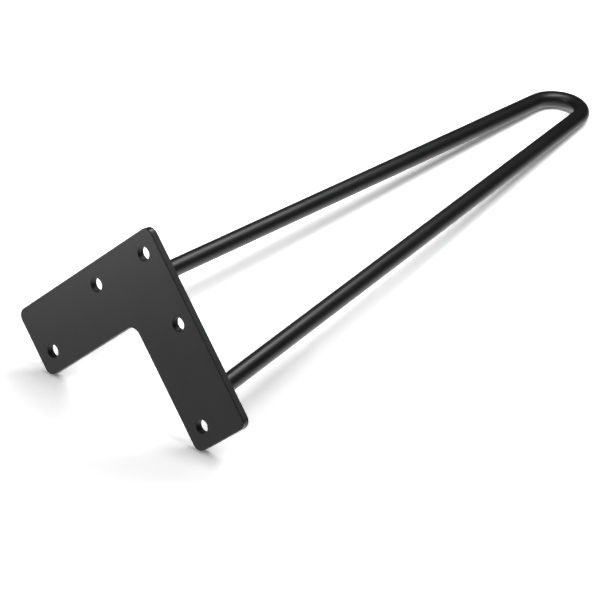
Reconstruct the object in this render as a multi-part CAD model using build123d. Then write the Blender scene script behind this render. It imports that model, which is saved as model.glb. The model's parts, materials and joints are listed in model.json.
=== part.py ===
from build123d import *
from math import acos, atan2, cos, degrees, hypot, radians, sin, sqrt
import os

# Hairpin table leg: an L-shaped steel screw plate with one round bar, bent into a hairpin,
# welded under its two arms.
#
# Millimetres and degrees. The leg stands as it does under a table: +Z up, the mounting face at
# z = 0 and the foot at z = -leg_height. The origin is where the centre lines of the two arms
# cross. The leg is its own mirror image across x = 0, and it leans towards -Y, the plate's
# outer corner.

# Mounting plate
plate_side = 114.3
arm_width = 39.5
plate_thickness = 4.5
outer_corner_radius = 5.0
inner_corner_radius = 6.0
plate_edge_radius = 0.5

# Screw holes
hole_diameter = 7.5
hole_edge_offset = 11.25
middle_hole_pitch = 40.4
hole_edge_break = 0.3

# Hairpin rod
leg_height = 406.4
rod_diameter = 10.0
rod_edge_offset = 15.75
rod_end_offset = 23.2
foot_bend_radius = 16.2
lean_angle = 9.75

# Fillet welds between the rod's ends and the plate
weld_leg = 4.0
weld_crown = 0.4

# The plate is drawn with its outer corner at the origin and its arms along X and Y, then turned
# so that its diagonal lies along Y and moved so that the arms' centre lines cross at the origin.
diagonal = sqrt(2.0)
corner_reach = arm_width / diagonal
plate_place = Pos(0, -corner_reach, 0) * Rot(0, 0, 45)

# Both rod ends meet the plate's underside on one line across the leg.
rod_radius = rod_diameter / 2
rod_along_arm = plate_side - rod_end_offset
half_spread = (rod_along_arm - rod_edge_offset) / diagonal
rod_line_y = (rod_along_arm + rod_edge_offset) / diagonal - corner_reach
underside = Plane.XY.offset(-plate_thickness)

# The hairpin is flat. In its plane, x runs across the leg and y runs down it from the plate.
lean = radians(lean_angle)
hairpin_plane = Plane(
    origin=(0, rod_line_y, -plate_thickness),
    x_dir=(1, 0, 0),
    z_dir=(0, cos(lean), -sin(lean)),
)
bend_end = (leg_height - plate_thickness - rod_radius) / cos(lean)
bend_centre = bend_end - foot_bend_radius

# Each straight runs from its weld and touches the bend's circle: taper is its angle to the
# leg's centre line, and the tangent point follows from it.
taper = acos(foot_bend_radius / hypot(half_spread, bend_centre)) - atan2(bend_centre, half_spread)
tangent_x = foot_bend_radius * cos(taper)
tangent_y = bend_centre + foot_bend_radius * sin(taper)
straight_length = hypot(half_spread - tangent_x, tangent_y)
straight_direction = (-sin(taper), cos(taper), 0)


def hole_centres():
    """The five screw holes, measured along the two arms from the plate's outer corner."""
    corner = hole_edge_offset
    middle = hole_edge_offset + middle_hole_pitch
    tip_along = plate_side - hole_edge_offset
    tip_across = arm_width - hole_edge_offset
    return [
        (corner, corner),
        (middle, corner),
        (corner, middle),
        (tip_along, tip_across),
        (tip_across, tip_along),
    ]


def plate_outline():
    """The L with its five outer corners and its one inner corner rounded."""
    notch = plate_side - arm_width
    outline = Rectangle(plate_side, plate_side, align=Align.MIN)
    outline -= Pos(arm_width, arm_width) * Rectangle(notch, notch, align=Align.MIN)
    inner_corner = outline.vertices().sort_by_distance((arm_width, arm_width, 0))[0]
    outline = fillet(inner_corner, inner_corner_radius)
    # The inner fillet adds two vertices, which lie on the notch's own edges and stay sharp.
    ends = (0.0, arm_width, plate_side)
    outer_corners = [
        vertex
        for vertex in outline.vertices()
        if is_one_of(vertex.X, ends) and is_one_of(vertex.Y, ends)
    ]
    return fillet(outer_corners, outer_corner_radius)


def is_one_of(value, choices):
    return any(abs(value - choice) < 1e-6 for choice in choices)


def mounting_plate():
    """The flat L-shaped plate with its soft edges and five through holes."""
    plate = extrude(plate_outline(), -plate_thickness)
    rims = plate.edges().filter_by(Plane.XY)
    plate = fillet(rims, plate_edge_radius)
    hole = extrude(Circle(hole_diameter / 2), -plate_thickness)
    for centre in hole_centres():
        plate -= Pos(*centre) * hole
    hole_rims = [
        edge
        for edge in plate.edges().filter_by(GeomType.CIRCLE)
        if is_one_of(edge.radius, [hole_diameter / 2]) and edge.is_closed
    ]
    plate = chamfer(hole_rims, hole_edge_break)
    return plate_place * plate


def rod_straight():
    """The right-hand straight, run on past the plate's underside so that it can be cut flush."""
    overrun = rod_diameter
    start = Vector(half_spread, 0, 0) - Vector(*straight_direction) * overrun
    section = Plane(origin=start, z_dir=straight_direction) * Circle(rod_radius)
    return extrude(section, overrun + straight_length)


def foot_bend():
    """The round bend at the foot, from the right-hand straight round to the left-hand one."""
    section = Plane(origin=(tangent_x, tangent_y, 0), z_dir=straight_direction) * Circle(rod_radius)
    bend_axis = Axis((0, bend_centre, 0), (0, 0, 1))
    return revolve(section, bend_axis, 180 - 2 * degrees(taper))


def hairpin_rod():
    """One bar: two straights and the bend, with both ends cut flush with the plate's underside."""
    right = rod_straight()
    rod = right + foot_bend() + mirror(right, Plane.YZ)
    return split(hairpin_plane.location * rod, underside, Keep.BOTTOM)


def weld_bead():
    """The right-hand fillet weld: a crowned ring round the rod, cut flush with the underside."""
    overrun = rod_diameter
    throat = weld_leg / 2
    toe = rod_radius + weld_leg
    crown_point = (rod_radius + throat + weld_crown, throat + weld_crown)
    crown = ThreePointArc((rod_radius, weld_leg), crown_point, (toe, 0))
    flare = Polyline(
        (toe, 0), (toe + overrun, -overrun), (rod_radius, -overrun), (rod_radius, weld_leg)
    )
    section = Plane.XZ * make_face(crown + flare)
    ring = revolve(section, Axis.Z)
    weld_plane = Plane(origin=(half_spread, 0, 0), z_dir=straight_direction)
    placed = hairpin_plane.location * weld_plane.location * ring
    return split(placed, underside, Keep.BOTTOM)


right_weld = weld_bead()
pieces = {
    "mounting_plate": mounting_plate(),
    "hairpin_rod": hairpin_rod(),
    "weld_bead_right": right_weld,
    "weld_bead_left": mirror(right_weld, Plane.YZ),
}

os.makedirs("parts", exist_ok=True)
for name, piece in pieces.items():
    piece.label = name
    export_step(piece, f"parts/{name}.step")
print(f"taper {degrees(taper):.2f} degrees, straights {straight_length:.1f} mm long")
print(f"rod ends {2 * half_spread:.1f} mm apart")
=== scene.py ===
# %% [markdown]
# # A powder-coated hairpin table leg
# A hairpin leg is one round steel bar, bent once at the foot and welded by both ends under an
# L-shaped screw plate. The welded leg is then powder coated, so every piece has the same satin
# black skin. The solids come in as a fixed frame in metres, with the mounting face at z = 0, the
# foot at the bottom and the plate's outer corner towards -Y. This lesson dresses that frame: it
# models the two weld beads, mixes the coating, and lays the leg on a pale floor.

# %% Load the frame
import json
import math
import random

import bpy
from mathutils import Matrix, Vector


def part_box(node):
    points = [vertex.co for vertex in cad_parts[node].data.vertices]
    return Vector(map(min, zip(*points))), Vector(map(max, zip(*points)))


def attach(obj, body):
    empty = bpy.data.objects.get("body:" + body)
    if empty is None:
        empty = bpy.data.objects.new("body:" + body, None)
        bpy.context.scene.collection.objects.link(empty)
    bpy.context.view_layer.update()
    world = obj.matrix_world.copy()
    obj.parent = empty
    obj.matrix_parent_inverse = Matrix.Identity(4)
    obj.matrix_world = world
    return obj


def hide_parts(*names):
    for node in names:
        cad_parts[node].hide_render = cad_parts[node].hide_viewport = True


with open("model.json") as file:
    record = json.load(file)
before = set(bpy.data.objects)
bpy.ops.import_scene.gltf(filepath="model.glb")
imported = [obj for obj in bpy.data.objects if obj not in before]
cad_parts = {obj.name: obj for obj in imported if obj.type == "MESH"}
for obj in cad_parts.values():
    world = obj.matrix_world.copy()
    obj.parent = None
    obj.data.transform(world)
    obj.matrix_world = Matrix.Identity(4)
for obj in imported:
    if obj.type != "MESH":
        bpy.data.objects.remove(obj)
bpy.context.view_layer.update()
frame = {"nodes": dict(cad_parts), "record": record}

nodes = frame["nodes"]
print("pieces in the frame:", ", ".join(sorted(nodes)))

# %% [markdown]
# ## The floor that the leg lies on
# Off the table, the leg can't stand. It lies on three points: the ends of the plate's two arms and
# the underside of the bend. The frame keeps the leg upright, so it is the floor that tilts. Seen
# from the side, the floor is the straight line that touches both the plate and the rod, and
# halving an angle finds it: while the plate reaches further than the rod, the line tilts more.

# %% Find the floor
def reach(name, direction):
    """How far a piece stretches along a direction, from the frame's origin."""
    return max(direction.dot(vertex.co) for vertex in nodes[name].data.vertices)


low_tilt = 0.0
high_tilt = math.radians(45)
halving_count = 40
for halving in range(halving_count):
    tilt = (low_tilt + high_tilt) / 2
    to_floor = Vector((0, math.cos(tilt), -math.sin(tilt)))
    if reach("mounting_plate", to_floor) > reach("hairpin_rod", to_floor):
        low_tilt = tilt
    else:
        high_tilt = tilt

floor_gap = reach("mounting_plate", to_floor)
floor_up = -to_floor
floor_along = Vector((0, -math.sin(tilt), -math.cos(tilt)))
floor_side = Vector((1, 0, 0))
floor_matrix = Matrix((floor_along, floor_side, floor_up)).transposed().to_4x4()
floor_matrix.translation = floor_gap * to_floor
print(f"the floor leans {math.degrees(tilt):.2f} degrees and lies {1000 * floor_gap:.1f} mm from the origin")

# %% [markdown]
# ## The camera
# The picture is taken with a long lens from the plate's end of the leg, off to one side and about 34
# degrees above the floor. The camera's place and target are easiest to read on the floor: along the
# leg from the plate to the foot, across it, and up. A camera looks down its own -Z, so its matrix has
# three columns: to the right, up, and backwards.

# %% Place the camera
camera_place = floor_matrix @ Vector((-0.7817, -0.7512, 0.7962))
camera_target = floor_matrix @ Vector((0.1225, -0.0049, 0.0))
camera_roll = math.radians(-0.12)
camera_lens = 151.90

look = (camera_target - camera_place).normalized()
level_right = look.cross(floor_up).normalized()
level_up = level_right.cross(look)
right = level_right * math.cos(camera_roll) + level_up * math.sin(camera_roll)
up = right.cross(look)
camera_matrix = Matrix((right, up, -look)).transposed().to_4x4()
camera_matrix.translation = camera_place

bpy.ops.object.camera_add()
camera = bpy.context.object
camera.name = "photo_camera"
camera.matrix_world = camera_matrix
camera.data.lens = camera_lens
camera.data.sensor_width = 36
camera.data.clip_start = 0.01
bpy.context.scene.camera = camera
print(f"camera {(camera_target - camera_place).length:.2f} m from its target, lens {camera_lens} mm")

# %% [markdown]
# ## The powder coat
# Powder coat is plastic that is sprayed on as dust and melted in an oven. It is a deep satin black
# with a faint orange-peel skin: soft dimples about a millimetre across, with a finer grain on top.
# Its gloss also wanders a little from place to place. A picture of a real coating could be wrapped
# on, but noise in object space needs no unwrapping and runs over every edge without a seam. Two
# bumps in a row make the skin, and two slow noises vary the gloss and the depth of the black. On the
# flat plate the coat flows out smoother and shines a little less than on the round bar, so each gets
# a mix of its own.

# %% Make noise and bumps
noise_low = 0.3
noise_high = 0.7
bump_strength = 0.5


def noise(tree, coordinates, feature_size, detail):
    """A noise texture whose blotches are about feature_size metres across."""
    texture = tree.nodes.new("ShaderNodeTexNoise")
    texture.inputs["Scale"].default_value = 1 / feature_size
    texture.inputs["Detail"].default_value = detail
    tree.links.new(coordinates, texture.inputs["Vector"])
    return texture.outputs["Fac"]


def spread(tree, value, low, high):
    """Stretches the middle of a noise over a range of values."""
    ramp = tree.nodes.new("ShaderNodeMapRange")
    ramp.inputs["From Min"].default_value = noise_low
    ramp.inputs["From Max"].default_value = noise_high
    ramp.inputs["To Min"].default_value = low
    ramp.inputs["To Max"].default_value = high
    tree.links.new(value, ramp.inputs["Value"])
    return ramp.outputs["Result"]


def bump(tree, height, depth, under=None):
    """A bump of the given depth in metres, laid over another bump where there is one."""
    relief = tree.nodes.new("ShaderNodeBump")
    relief.inputs["Distance"].default_value = depth
    relief.inputs["Strength"].default_value = bump_strength
    tree.links.new(height, relief.inputs["Height"])
    if under is not None:
        tree.links.new(under, relief.inputs["Normal"])
    return relief.outputs["Normal"]


print(f"noises are used from {noise_low} to {noise_high}, bumps at a strength of {bump_strength}")

# %% Mix the powder coat
deep_black = (0.0055, 0.0055, 0.0058, 1)
soft_black = (0.0080, 0.0080, 0.0083, 1)
black_blotch_size = 0.030
gloss_blotch_size = 0.022
lowest_roughness = 0.36
highest_roughness = 0.42
plate_shine = 0.38
rod_shine = 0.50
peel_size = 0.0011
plate_peel_depth = 0.00005
rod_peel_depth = 0.00014
grain_size = 0.0003
grain_share = 0.25


def powder_coat(name, shine, peel_depth):
    """Satin black powder coat with an orange-peel skin."""
    material = bpy.data.materials.new(name)
    material.use_nodes = True
    tree = material.node_tree
    shader = tree.nodes["Principled BSDF"]
    shader.inputs["Specular IOR Level"].default_value = shine
    place = tree.nodes.new("ShaderNodeTexCoord").outputs["Object"]

    black = tree.nodes.new("ShaderNodeValToRGB")
    black.color_ramp.elements[0].position = noise_low
    black.color_ramp.elements[0].color = deep_black
    black.color_ramp.elements[1].position = noise_high
    black.color_ramp.elements[1].color = soft_black
    tree.links.new(noise(tree, place, black_blotch_size, detail=3), black.inputs["Fac"])
    tree.links.new(black.outputs["Color"], shader.inputs["Base Color"])

    blotches = noise(tree, place, gloss_blotch_size, detail=4)
    gloss = spread(tree, blotches, lowest_roughness, highest_roughness)
    tree.links.new(gloss, shader.inputs["Roughness"])

    peel = bump(tree, noise(tree, place, peel_size, detail=2), peel_depth)
    grain = bump(tree, noise(tree, place, grain_size, detail=2), grain_share * peel_depth, under=peel)
    tree.links.new(grain, shader.inputs["Normal"])
    return material


plate_coat = powder_coat("plate_powder_coat", plate_shine, plate_peel_depth)
rod_coat = powder_coat("rod_powder_coat", rod_shine, rod_peel_depth)
for name, coat in {"mounting_plate": plate_coat, "hairpin_rod": rod_coat}.items():
    for material_slot in nodes[name].material_slots:
        material_slot.material = coat
print("coated:", plate_coat.name, "and", rod_coat.name)

# %% [markdown]
# ## The plate's cut edges
# The plate is cut from sheet, which leaves fine upright lines on its walls. Powder lies thin and dull
# there, it flows out smooth round the corners, and little of it reaches into the screw holes. Each
# wall could get a material of its own, but the plate is one mesh, so masks in its one material find
# these places. The way that the surface faces tells a wall from a flat face. The arms run at 45
# degrees to the axes, so on a straight wall the normal's X and Y are equally large, and round a
# corner they aren't. The screw holes lie where the record's mounts say.

# %% Find the plate's walls and corners
def combine(tree, operation, first, second):
    """A Math node that joins a value to another one, or to a plain number."""
    node = tree.nodes.new("ShaderNodeMath")
    node.operation = operation
    tree.links.new(first, node.inputs[0])
    if isinstance(second, float):
        node.inputs[1].default_value = second
    else:
        tree.links.new(second, node.inputs[1])
    return node.outputs["Value"]


def soft_step(tree, value, start, end):
    """A value that goes from 0 at start to 1 at end, whichever of the two is the higher."""
    step = tree.nodes.new("ShaderNodeMapRange")
    step.interpolation_type = "SMOOTHSTEP"
    step.inputs["From Min"].default_value = start
    step.inputs["From Max"].default_value = end
    tree.links.new(value, step.inputs["Value"])
    return step.outputs["Result"]


# A flat face has a squared normal Z of 1 and a wall has 0. Along an arm, (X * Y) squared is 0.25.
flat_limit = 0.7
wall_limit = 0.1
corner_limit = 0.09
straight_limit = 0.20


def wall_masks(tree):
    """Masks of the plate's straight walls and of its rounded corners."""
    facing = tree.nodes.new("ShaderNodeSeparateXYZ")
    tree.links.new(tree.nodes.new("ShaderNodeTexCoord").outputs["Normal"], facing.inputs["Vector"])
    x, y, z = facing.outputs
    wall = soft_step(tree, combine(tree, "MULTIPLY", z, z), flat_limit, wall_limit)
    slant = combine(tree, "MULTIPLY", x, y)
    along_arm = soft_step(tree, combine(tree, "MULTIPLY", slant, slant), corner_limit, straight_limit)
    straight = combine(tree, "MULTIPLY", wall, along_arm)
    return straight, combine(tree, "SUBTRACT", wall, straight)


wall_start = math.degrees(math.acos(math.sqrt(flat_limit)))
wall_end = math.degrees(math.acos(math.sqrt(wall_limit)))
print(f"a wall fades in from {wall_start:.0f} to {wall_end:.0f} degrees away from a flat face")

# %% Find the screw holes
# The mask takes in the broken edge round each hole, which is 0.3 mm wide.
hole_margin = 0.00035
screw_holes = []
for mount in frame["record"]["mounts"]:
    x, y = mount["pos_m"][:2]
    if mount["kind"] == "bore":
        screw_holes.append((x, y, 0))
        hole_reach = mount["dims"]["r_mm"] / 1000 + hole_margin
    if mount["kind"] == "bolt_pattern":
        half_spacing = mount["dims"]["spacing_x_mm"] / 1000 / 2
        screw_holes += [(x - half_spacing, y, 0), (x + half_spacing, y, 0)]


def hole_mask(tree, place):
    """Mask of the screw holes: 1 where the nearest hole's middle is less than hole_reach away."""
    flatten = tree.nodes.new("ShaderNodeMapping")
    flatten.inputs["Scale"].default_value = (1, 1, 0)
    tree.links.new(place, flatten.inputs["Vector"])
    nearest = None
    for centre in screw_holes:
        away = tree.nodes.new("ShaderNodeVectorMath")
        away.operation = "DISTANCE"
        away.inputs[1].default_value = centre
        tree.links.new(flatten.outputs["Vector"], away.inputs[0])
        distance = away.outputs["Value"]
        nearest = distance if nearest is None else combine(tree, "MINIMUM", nearest, distance)
    return combine(tree, "LESS_THAN", nearest, hole_reach)


print(f"{len(screw_holes)} screw holes, masked to {1000 * hole_reach:.2f} mm from their middles")

# %% [markdown]
# The masks now change what already drives the plate's shader: its roughness, its black and its bump.
# Each is taken from its socket, changed and plugged in again. A noise that is stretched along Z makes
# the upright lines. The straight walls' black is made paler, partly for the thin powder and partly as
# a painted sheen that stands in for the light those walls catch.

# %% Finish the plate's cut edges
wall_dullness = 0.14
corner_smoothness = 0.24
hole_roughness = 0.58
# How much paler the straight walls' black gets: thin powder, plus a painted sheen.
wall_sheen_paleness = 3.0
cut_line_width = 0.0006
cut_line_depth = 0.00004
cut_line_stretch = (1, 1, 0.08)

tree = plate_coat.node_tree
shader = tree.nodes["Principled BSDF"]
place = tree.nodes.new("ShaderNodeTexCoord").outputs["Object"]
straight, corner = wall_masks(tree)
hole = hole_mask(tree, place)

gloss = shader.inputs["Roughness"].links[0].from_socket
gloss = combine(tree, "ADD", gloss, combine(tree, "MULTIPLY", straight, wall_dullness))
gloss = combine(tree, "SUBTRACT", gloss, combine(tree, "MULTIPLY", corner, corner_smoothness))
gloss = combine(tree, "MAXIMUM", gloss, combine(tree, "MULTIPLY", hole, hole_roughness))
tree.links.new(gloss, shader.inputs["Roughness"])

# Straight walls outside the holes get a paler black: partly for the thin powder, partly as a painted sheen
# standing in for light these walls catch.
sheen_wall = combine(tree, "MAXIMUM", combine(tree, "SUBTRACT", straight, hole), 0.0)
sheen_paler = tree.nodes.new("ShaderNodeVectorMath")
sheen_paler.operation = "SCALE"
tree.links.new(shader.inputs["Base Color"].links[0].from_socket, sheen_paler.inputs[0])
sheen_paleness = combine(tree, "ADD", combine(tree, "MULTIPLY", sheen_wall, wall_sheen_paleness), 1.0)
tree.links.new(sheen_paleness, sheen_paler.inputs["Scale"])
tree.links.new(sheen_paler.outputs["Vector"], shader.inputs["Base Color"])

stretch = tree.nodes.new("ShaderNodeMapping")
stretch.inputs["Scale"].default_value = cut_line_stretch
tree.links.new(place, stretch.inputs["Vector"])
lines = noise(tree, stretch.outputs["Vector"], cut_line_width, detail=2)
skin = shader.inputs["Normal"].links[0].from_socket
lined_skin = bump(tree, combine(tree, "MULTIPLY", lines, straight), cut_line_depth, under=skin)
tree.links.new(lined_skin, shader.inputs["Normal"])
print(f"{plate_coat.name} has {len(tree.nodes)} nodes with its cut walls, corners and holes")

# %% [markdown]
# ## The weld beads
# Each end of the bar is held by one fillet weld, which runs round it under the plate. A welder lays
# it as a row of small overlapping puddles, and they freeze into ripples like a fanned row of coins.
# A smooth ring with a bump map could stand in for it, but the ripples are a shape that catches the
# light, so they are modelled. The bar's own line is needed first: a level cut through the rod's mesh
# has the bar's middle at the middle of the cut, and two cuts give the line.

# %% Find the bar's line at each end
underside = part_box("hairpin_rod")[1].z


def bar_cut(height, side):
    """Where the bar crosses a height, on the right (+1) or left (-1) of the leg: middle and half width."""
    mesh = nodes["hairpin_rod"].data
    cut = []
    for edge in mesh.edges:
        ends = [mesh.vertices[index].co for index in edge.vertices]
        top, bottom = sorted(ends, key=lambda point: -point.z)
        if top.z > height >= bottom.z and top.x * side > 0:
            cut.append(top.lerp(bottom, (top.z - height) / (top.z - bottom.z)))
    low = Vector(map(min, *cut))
    high = Vector(map(max, *cut))
    return (low + high) / 2, (high - low) / 2


near_cut_depth = 0.05
far_cut_depth = 0.25
bar_lines = {}
for side, name in ((1, "weld_bead_right"), (-1, "weld_bead_left")):
    near = bar_cut(underside - near_cut_depth, side)[0]
    far, half_width = bar_cut(underside - far_cut_depth, side)
    axis = (far - near).normalized()
    start = near + axis * (underside - near.z) / axis.z
    bar_lines[name] = (start, axis)
    print(f"{name}: bar meets the plate at {[round(1000 * value, 2) for value in start]} mm")
bar_radius = half_width.x / math.hypot(1, axis.x / axis.z)
print(f"bar radius {1000 * bar_radius:.2f} mm")

# %% [markdown]
# One puddle is a ball pressed into a thick coin. Its broad face looks out of the corner between the
# bar and the plate, and it leans a little along the seam, as the torch drags it. Copies of it go
# round the bar, no two quite alike: each one's lean, size and place are drawn from small ranges.

# %% Place one puddle
puddle_count = 23
puddle_half_sizes = (0.00150, 0.00165, 0.00310)
puddle_out = 0.00170
puddle_lean = math.radians(24)
lean_range = (0.8, 1.2)
size_range = (0.95, 1.05)
out_range = (0.96, 1.04)
step_range = (-0.12, 0.12)


def puddle_place(start, axis, turn, chance):
    """The matrix that puts one puddle in the corner between bar and plate, at an angle round the bar."""
    across = axis.orthogonal().normalized()
    radial = across * math.cos(turn) + axis.cross(across) * math.sin(turn)
    root = start + bar_radius * radial
    root += axis * (underside - root.z) / axis.z
    outward = (radial + axis).normalized()
    face = (radial - axis).normalized()
    path = outward.cross(face)
    lean = puddle_lean * chance.uniform(*lean_range)
    path_leant = path * math.cos(lean) + face * math.sin(lean)
    face_leant = face * math.cos(lean) - path * math.sin(lean)
    swell = chance.uniform(*size_range)
    place = Matrix((path_leant, outward, face_leant)).transposed().to_4x4() @ Matrix.Scale(swell, 4)
    place.translation = root + outward * puddle_out * chance.uniform(*out_range)
    return place


puddle_step = math.tau * bar_radius / puddle_count
print(f"one puddle for every {1000 * puddle_step:.2f} mm round the bar")

# %% [markdown]
# A row of puddles becomes a bead in three steps. A voxel remesh melts the row into one skin, a light
# smooth rounds the creases as the powder does, and a cut along the plate's underside gives the bead a
# flat seat. The cut's threshold is far smaller than a voxel, so that no point beside the cut is pulled
# onto it and the seat closes cleanly.

# %% Lay a row of puddles
ball_segments = 20
ball_rings = 14


def puddle_row(start, axis, chance):
    """One mesh of overlapping puddles round the bar."""
    bpy.ops.object.select_all(action="DESELECT")
    bpy.ops.mesh.primitive_uv_sphere_add(segments=ball_segments, ring_count=ball_rings, radius=1)
    puddle = bpy.context.object
    bpy.ops.object.mode_set(mode="EDIT")
    bpy.ops.mesh.select_all(action="SELECT")
    bpy.ops.transform.resize(value=puddle_half_sizes)
    bpy.ops.object.mode_set(mode="OBJECT")

    row = [puddle]
    while len(row) < puddle_count:
        bpy.ops.object.select_all(action="DESELECT")
        puddle.select_set(True)
        bpy.context.view_layer.objects.active = puddle
        bpy.ops.object.duplicate()
        row.append(bpy.context.object)
    for number, piece in enumerate(row):
        turn = math.tau * (number + chance.uniform(*step_range)) / puddle_count
        piece.matrix_world = puddle_place(start, axis, turn, chance)

    bpy.ops.object.select_all(action="DESELECT")
    for piece in row:
        piece.select_set(True)
    bpy.context.view_layer.objects.active = puddle
    bpy.ops.object.join()
    bpy.ops.object.transform_apply(location=True, rotation=True, scale=True)
    print(f"{len(row)} puddles of {ball_segments * ball_rings} faces joined in a row")
    return bpy.context.object


# %% Melt the row into a bead
bead_voxel = 0.00022
bead_smoothing = 0.5
bead_smoothing_rounds = 3
bead_cut_threshold = 0.000001
crease_angle = math.radians(50)


def weld_bead(name, start, axis, seed):
    """One rippled fillet weld round the bar, seated on the plate's underside."""
    bead = puddle_row(start, axis, random.Random(seed))
    bead.name = name
    bpy.ops.object.modifier_add(type="REMESH")
    bead.modifiers["Remesh"].mode = "VOXEL"
    bead.modifiers["Remesh"].voxel_size = bead_voxel
    bpy.ops.object.modifier_apply(modifier="Remesh")
    bpy.ops.object.modifier_add(type="SMOOTH")
    bead.modifiers["Smooth"].factor = bead_smoothing
    bead.modifiers["Smooth"].iterations = bead_smoothing_rounds
    bpy.ops.object.modifier_apply(modifier="Smooth")

    bpy.ops.object.mode_set(mode="EDIT")
    bpy.ops.mesh.select_all(action="SELECT")
    bpy.ops.mesh.bisect(
        plane_co=start, plane_no=(0, 0, 1), use_fill=True, clear_outer=True, threshold=bead_cut_threshold
    )
    bpy.ops.mesh.select_all(action="SELECT")
    bpy.ops.mesh.normals_make_consistent(inside=False)
    bpy.ops.object.mode_set(mode="OBJECT")
    bpy.ops.object.shade_smooth_by_angle(angle=crease_angle)
    return bead


weld_coat = powder_coat("weld_powder_coat", rod_shine, rod_peel_depth)
first_seed = 11
for seed, (node, (start, axis)) in enumerate(bar_lines.items(), start=first_seed):
    bead = weld_bead(node.replace("weld_bead", "rippled_weld"), start, axis, seed)
    bead.data.materials.append(weld_coat)
    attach(bead, "root")
    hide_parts(node)
    print(f"{bead.name}: melted into {len(bead.data.polygons)} faces")

# %% [markdown]
# ## The pale floor
# The leg lies on a sheet of white paper that runs out of the picture on all sides, and the paper takes
# its soft shadow. Lamps strong enough to burn the paper out to pure white would turn the black coat
# grey. So the light level stays plain, and the paper is only made brighter where the camera looks at
# it, shadow and all. White paper that is mirrored right up to the horizon would also grey the lower
# half of each bar, so reflections look past the sheet at the room, which is painted to fade there. The
# sheet fades out towards its rim, and it is clear from underneath, so the leg can be looked at from
# any side.

# %% Lay the floor
floor_radius = 1.0
floor_rim_points = 96

bpy.ops.object.select_all(action="DESELECT")
bpy.ops.mesh.primitive_circle_add(vertices=floor_rim_points, radius=floor_radius, fill_type="NGON")
floor = bpy.context.object
floor.name = "pale_floor"
floor.matrix_world = floor_matrix
floor.visible_glossy = False
print(f"floor {2 * floor_radius:.1f} m across")

# %% Brighten the paper where it is seen
def seen_ray(tree):
    """1 for a ray from the camera, straight or through glass."""
    path = tree.nodes.new("ShaderNodeLightPath").outputs
    return combine(tree, "MAXIMUM", path["Is Camera Ray"], path["Is Transmission Ray"])


def blend(tree, value, low, high):
    """Turns 0 to 1 into low to high."""
    node = tree.nodes.new("ShaderNodeMapRange")
    node.inputs["To Min"].default_value = low
    node.inputs["To Max"].default_value = high
    tree.links.new(value, node.inputs["Value"])
    return node.outputs["Result"]


paper_white = 0.85
paper_white_seen = 1.60
paper_glow_seen = 0.06

paper = bpy.data.materials.new("white_paper")
paper.use_nodes = True
tree = paper.node_tree
tree.nodes.clear()
seen = seen_ray(tree)
sheet = tree.nodes.new("ShaderNodeBsdfDiffuse")
tree.links.new(blend(tree, seen, paper_white, paper_white_seen), sheet.inputs["Color"])
glow = tree.nodes.new("ShaderNodeEmission")
tree.links.new(blend(tree, seen, 0.0, paper_glow_seen), glow.inputs["Strength"])
lit_sheet = tree.nodes.new("ShaderNodeAddShader")
tree.links.new(sheet.outputs["BSDF"], lit_sheet.inputs[0])
tree.links.new(glow.outputs["Emission"], lit_sheet.inputs[1])
seen_gain = paper_white_seen / paper_white
print(f"{paper.name} is {seen_gain:.2f} times as bright to the camera, with a faint glow added")

# %% Fade the paper's rim
floor_fade_start = 0.6

from_middle = tree.nodes.new("ShaderNodeVectorMath")
from_middle.operation = "LENGTH"
tree.links.new(tree.nodes.new("ShaderNodeTexCoord").outputs["Object"], from_middle.inputs[0])
rim = soft_step(tree, from_middle.outputs["Value"], floor_fade_start, floor_radius)
underneath = tree.nodes.new("ShaderNodeNewGeometry").outputs["Backfacing"]

clear = tree.nodes.new("ShaderNodeBsdfTransparent")
surface = tree.nodes.new("ShaderNodeMixShader")
tree.links.new(combine(tree, "MAXIMUM", rim, underneath), surface.inputs["Fac"])
tree.links.new(lit_sheet.outputs[0], surface.inputs[1])
tree.links.new(clear.outputs[0], surface.inputs[2])
output = tree.nodes.new("ShaderNodeOutputMaterial")
tree.links.new(surface.outputs[0], output.inputs["Surface"])
floor.data.materials.append(paper)
print(f"{paper.name} fades from {floor_fade_start} m to {floor_radius} m from its middle")

# %% [markdown]
# ## Studio light
# Black satin is drawn by what it mirrors, so each soft box has its own work. A large one overhead, on
# the right, lights the paper and throws the soft shadow. A small one above the foot lays the long
# line of light on the bars and catches the plate's outer corner. A low strip on the left greys the
# plate from its left end, and a box in front lifts the paper before the arms. The last one is for the
# paper round the foot alone, so it isn't mirrored.

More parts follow.
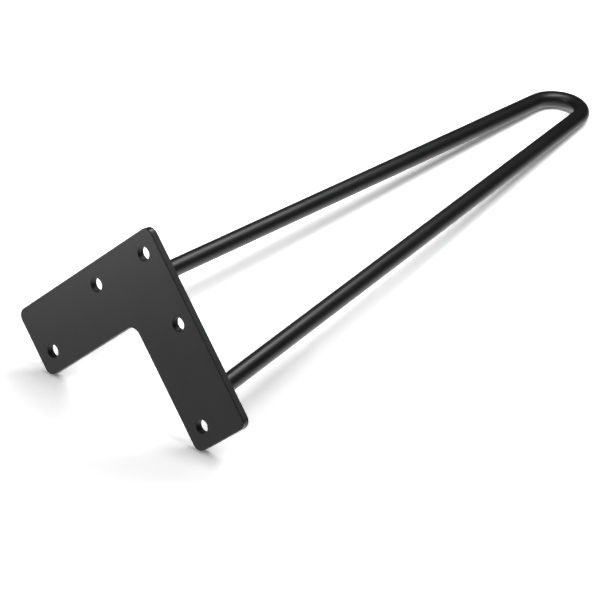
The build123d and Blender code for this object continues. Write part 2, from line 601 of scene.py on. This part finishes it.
# %% Set up the soft boxes
def soft_box(name, place, target, size, power):
    """A soft box, placed and aimed in metres on the floor: along the leg, across it and up."""
    place = floor_matrix @ Vector(place)
    back = (place - floor_matrix @ Vector(target)).normalized()
    level = floor_up.cross(back).normalized()
    turn = Matrix((level, back.cross(level), back)).transposed()
    bpy.ops.object.light_add(type="AREA", location=place, rotation=turn.to_euler())
    light = bpy.context.object
    light.name = name
    light.data.shape = "RECTANGLE"
    light.data.size, light.data.size_y = size
    light.data.energy = power
    print(f"{name}: {size[0]} x {size[1]} m, {power} W")
    return light


soft_box("overhead_box", place=(0.50, -0.50, 1.70), target=(0.20, 0, 0), size=(0.75, 0.75), power=14)
soft_box("foot_box", place=(0.35, 0.04, 0.41), target=(0.03, 0, 0.07), size=(0.24, 0.24), power=1.15)
soft_box("left_strip", place=(-0.26, 0.42, 0.055), target=(0, 0.05, 0.04), size=(0.40, 0.09), power=1.15)
soft_box("front_box", place=(-0.80, 0.45, 0.90), target=(0, 0, 0), size=(0.70, 0.70), power=3.2)
paper_box = soft_box(
    "paper_box", place=(0.68, -0.30, 0.40), target=(0.50, -0.10, 0), size=(0.30, 0.30), power=0.7
)
paper_box.visible_glossy = False

# %% [markdown]
# The room round the leg is white to the camera. To a reflection it stands in for the brightened paper:
# half as bright again as white far below the horizon, fading out up to it, and almost dark above. So
# the bars keep a dark line between the bright one and their pale underside. To everything else the
# room gives no light, which leaves the shading to the soft boxes.

# %% Paint the room
room_dimness = 0.042
mirrored_white = 1.5
fade_angle = math.radians(37)

room = bpy.data.worlds.new("white_room")
room.use_nodes = True
bpy.context.scene.world = room
tree = room.node_tree
background = tree.nodes["Background"]
background.inputs["Color"].default_value = (1, 1, 1, 1)

height = tree.nodes.new("ShaderNodeVectorMath")
height.operation = "DOT_PRODUCT"
height.inputs[1].default_value = floor_up
tree.links.new(tree.nodes.new("ShaderNodeTexCoord").outputs["Generated"], height.inputs[0])
fade = soft_step(tree, height.outputs["Value"], 0.0, -math.sin(fade_angle))

gloss_ray = tree.nodes.new("ShaderNodeLightPath").outputs["Is Glossy Ray"]
mirrored = combine(tree, "MULTIPLY", blend(tree, fade, room_dimness, mirrored_white), gloss_ray)
room_level = combine(tree, "MAXIMUM", mirrored, seen_ray(tree))
tree.links.new(room_level, background.inputs["Strength"])
bpy.context.scene.view_settings.view_transform = "Standard"
fade_degrees = math.degrees(fade_angle)
print(f"{room.name}: {mirrored_white} in reflections from {fade_degrees:.0f} degrees below the horizon")
